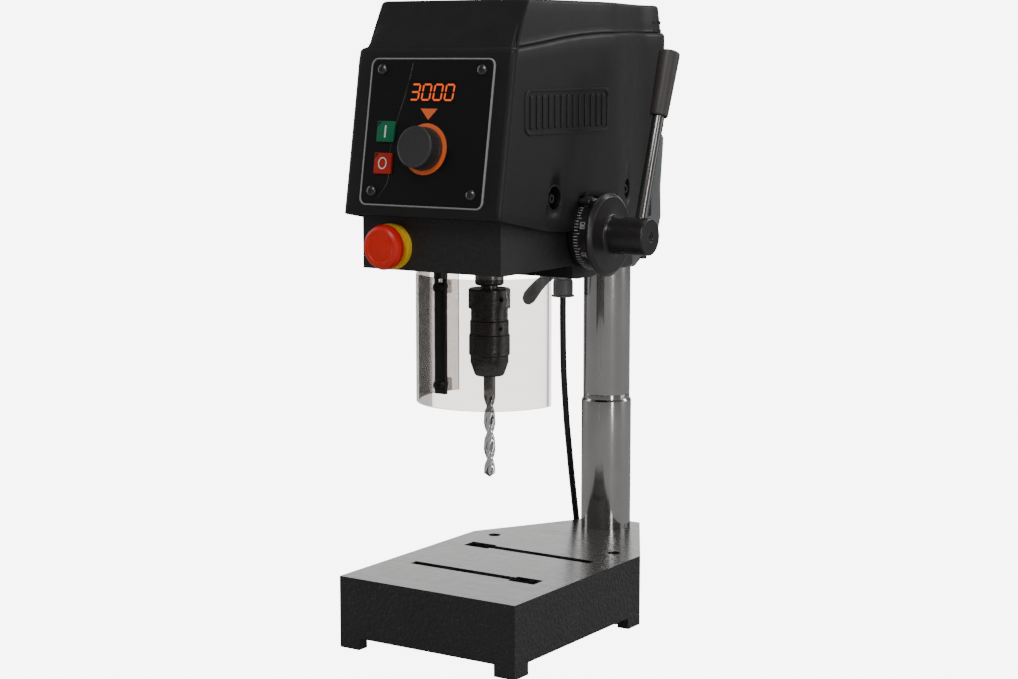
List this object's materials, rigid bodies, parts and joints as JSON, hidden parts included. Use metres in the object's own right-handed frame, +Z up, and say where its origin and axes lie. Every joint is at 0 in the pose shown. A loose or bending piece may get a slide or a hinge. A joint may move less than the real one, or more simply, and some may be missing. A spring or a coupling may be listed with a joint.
{
  "type": "drill press",
  "caption": "Bench drill press with a cast base, ground column, sliding belt driven head, lever feed, keyless chuck, control panel and swinging clear guard.",
  "frame": {"origin": "middle of the two bench bolt holes at the underside of the base", "axes": "+Z up, front of the machine towards -Y, feed lever on +X"},
  "size_m": [0.29, 0.4503, 0.588],
  "materials": {
    "cast_iron": "ground top, rough painted sides",
    "brushed_steel": "ground steel",
    "black_fasteners": "blackened",
    "cable": "satin black",
    "plug": "moulded black",
    "textured_black": "black textured paint",
    "satin_grey": "satin grey paint",
    "hood_plastic": "fine grained black",
    "hood_trim": "satin black",
    "panel": "satin glossy black",
    "display": "dark lens with orange digits",
    "orange_ring": "satin orange",
    "board": "green laminate",
    "zinc_parts": "zinc plated",
    "yellow_plastic": "satin yellow",
    "grey_plastic": "matt grey",
    "aluminium": "milled",
    "motor_paint": "grey paint",
    "brass": "turned",
    "spring_steel": "blued",
    "feed_black": "blackened satin",
    "black_steel": "black satin",
    "belt": "black rubber",
    "turned_steel": "turned",
    "lever_steel": "blackened, glossy",
    "grip": "satin dark brown black",
    "chuck_steel": "black oxide",
    "bearing_steel": "polished",
    "drill_steel": "bright ground",
    "knob": "satin dark grey",
    "green_button": "green",
    "red_button": "red",
    "red_mushroom": "red",
    "clear_sheet": "clear, slightly warm",
    "lever_grey": "satin grey blue"
  },
  "bodies": {
    "base": {"base_casting": "cast_iron", "column": "brushed_steel", "column_screws": "black_fasteners", "mains_cable": "cable", "cable_coil": "cable", "mains_plug": "plug"},
    "head": {"head_casting": "textured_black", "column_sleeve": "satin_grey", "sleeve_bolts": "black_fasteners", "head_cover": "hood_plastic", "cover_screws": "black_fasteners", "side_badges": "hood_trim", "panel_plate": "panel", "panel_screws": "black_fasteners", "display_module": "display", "knob_ring": "orange_ring", "control_board": "board", "potentiometer": "zinc_parts", "estop_body": "yellow_plastic", "cable_gland": "grey_plastic", "top_plate": "aluminium", "plate_posts": "zinc_parts", "motor_body": "motor_paint", "motor_screws": "black_fasteners", "feed_bushings": "brass", "return_spring": "spring_steel", "spring_cover": "feed_black", "guard_bracket": "black_steel", "depth_pointer": "feed_black", "drive_belt": "belt", "clamp_stud": "zinc_parts", "pulley_bearing": "bearing_steel"},
    "feed": {"feed_shaft": "turned_steel", "feed_pinion": "turned_steel", "feed_hub": "feed_black", "feed_lever": "lever_steel", "lever_grip": "grip", "hub_screw": "black_fasteners"},
    "depth_ring": {"depth_ring": "feed_black"},
    "quill": {"quill": "turned_steel", "quill_nose": "chuck_steel", "quill_bearings": "bearing_steel"},
    "spindle": {"spindle": "turned_steel", "chuck_body": "chuck_steel", "drill_bit": "drill_steel"},
    "chuck_sleeve": {"chuck_sleeve": "chuck_steel"},
    "jaw_1": {"chuck_jaw_1": "turned_steel"},
    "jaw_2": {"chuck_jaw_2": "turned_steel"},
    "jaw_3": {"chuck_jaw_3": "turned_steel"},
    "spindle_pulley": {"spindle_pulley": "aluminium"},
    "motor": {"motor_rotor": "turned_steel", "motor_pulley": "aluminium"},
    "speed_knob": {"speed_knob": "knob"},
    "start_button": {"start_button": "green_button"},
    "stop_button": {"stop_button": "red_button"},
    "estop_head": {"estop_head": "red_mushroom"},
    "guard": {"guard_post": "black_steel", "guard_shield": "clear_sheet", "guard_screws": "black_fasteners"},
    "clamp_lever": {"clamp_lever": "lever_grey"}
  },
  "joints": [
    {"name": "head_height", "type": "slide", "parent": "base", "child": "head", "axis": [0, 0, 1], "range_m": [-0.07, 0.07], "deforming": ["mains_cable"]},
    {"name": "feed_turn", "type": "hinge", "parent": "head", "child": "feed", "pos_m": [0, -0.067, 0.379], "axis": [1, 0, 0], "range_deg": [0, 150.1], "stiffness_Nm_per_rad": 0.35, "springref_deg": -126.05},
    {"name": "quill_travel", "type": "slide", "parent": "head", "child": "quill", "axis": [0, 0, -1], "range_m": [0, 0.055], "stiffness_N_per_m": 300, "springref_m": -0.12},
    {"name": "spindle_spin", "type": "hinge", "parent": "quill", "child": "spindle", "pos_m": [0, -0.111, 0.351], "axis": [0, 0, -1], "continuous": true},
    {"name": "pulley_spin", "type": "hinge", "parent": "head", "child": "spindle_pulley", "pos_m": [0, -0.111, 0.54], "axis": [0, 0, -1], "continuous": true},
    {"name": "motor_spin", "type": "hinge", "parent": "head", "child": "motor", "pos_m": [0, 0.008, 0.54], "axis": [0, 0, -1], "continuous": true},
    {"name": "chuck_turn", "type": "hinge", "parent": "spindle", "child": "chuck_sleeve", "pos_m": [0, -0.111, 0.2479], "axis": [0, 0, -1], "range_deg": [0, 720]},
    {"name": "depth_ring_set", "type": "hinge", "parent": "feed", "child": "depth_ring", "pos_m": [0.08, -0.067, 0.379], "axis": [1, 0, 0], "range_deg": [-170, 170]},
    {"name": "speed_knob_turn", "type": "hinge", "parent": "head", "child": "speed_knob", "pos_m": [0.001, -0.21072, 0.45878], "axis": [0, 0.9857, -0.1685], "range_deg": [0, 270]},
    {"name": "start_press", "type": "slide", "parent": "head", "child": "start_button", "axis": [0, 0.9857, -0.1685], "range_m": [0, 0.002], "stiffness_N_per_m": 400, "springref_m": -0.002},
    {"name": "stop_press", "type": "slide", "parent": "head", "child": "stop_button", "axis": [0, 0.9857, -0.1685], "range_m": [0, 0.002], "stiffness_N_per_m": 400, "springref_m": -0.002},
    {"name": "estop_press", "type": "slide", "parent": "head", "child": "estop_head", "axis": [0, 1, 0], "range_m": [0, 0.0038], "stiffness_N_per_m": 600, "springref_m": -0.003},
    {"name": "guard_swing", "type": "hinge", "parent": "head", "child": "guard", "pos_m": [-0.057, -0.1076, 0.34], "axis": [0, 0, -1], "range_deg": [0, 100]},
    {"name": "clamp_swing", "type": "hinge", "parent": "head", "child": "clamp_lever", "pos_m": [-0.02, 0.06, 0.33], "axis": [0, -1, 0], "range_deg": [0, 80]},
    {"name": "jaw_1_slide", "type": "slide", "parent": "spindle", "child": "jaw_1", "axis": [0.0905, 0.0523, 0.9945], "range_m": [0, 0.00565]},
    {"name": "jaw_2_slide", "type": "slide", "parent": "spindle", "child": "jaw_2", "axis": [-0.0905, 0.0523, 0.9945], "range_m": [0, 0.0057]},
    {"name": "jaw_3_slide", "type": "slide", "parent": "spindle", "child": "jaw_3", "axis": [0, -0.1045, 0.9945], "range_m": [0, 0.0057]}
  ],
  "couplings": [
    {"joint": "feed_turn", "follows": "quill_travel", "rad_per_m": 47.619},
    {"joint": "pulley_spin", "follows": "spindle_spin", "ratio": 1},
    {"joint": "motor_spin", "follows": "spindle_spin", "ratio": 1.4857},
    {"joint": "chuck_turn", "follows": "jaw_1_slide", "rad_per_m": 2222.2},
    {"joint": "jaw_2_slide", "follows": "jaw_1_slide", "ratio": 1},
    {"joint": "jaw_3_slide", "follows": "jaw_1_slide", "ratio": 1}
  ]
}
